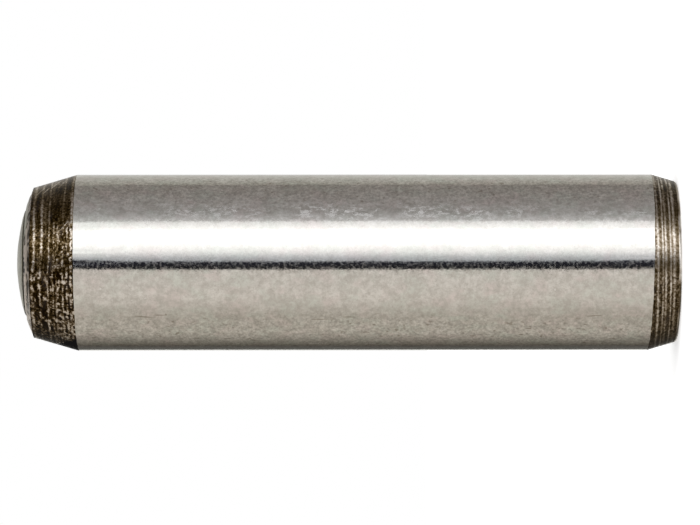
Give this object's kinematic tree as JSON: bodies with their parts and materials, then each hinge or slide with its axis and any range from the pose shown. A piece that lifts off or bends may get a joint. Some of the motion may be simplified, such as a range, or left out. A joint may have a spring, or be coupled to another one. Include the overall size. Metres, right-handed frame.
{
  "type": "dowel pin",
  "caption": "Hardened and ground cylindrical locating pin: long lead chamfer and dome on the entering end, short chamfer and flat foot on the other.",
  "frame": {"origin": "centre of the flat end that the pin stands on", "axes": "+Z along the pin's axis, from the flat foot towards the domed entering end"},
  "size_m": [0.008, 0.008, 0.03],
  "materials": {
    "hardened_steel": "ground shank, turned ends darkened by hardening"
  },
  "bodies": {
    "root": {"dowel_pin": "hardened_steel"}
  },
  "joints": []
}
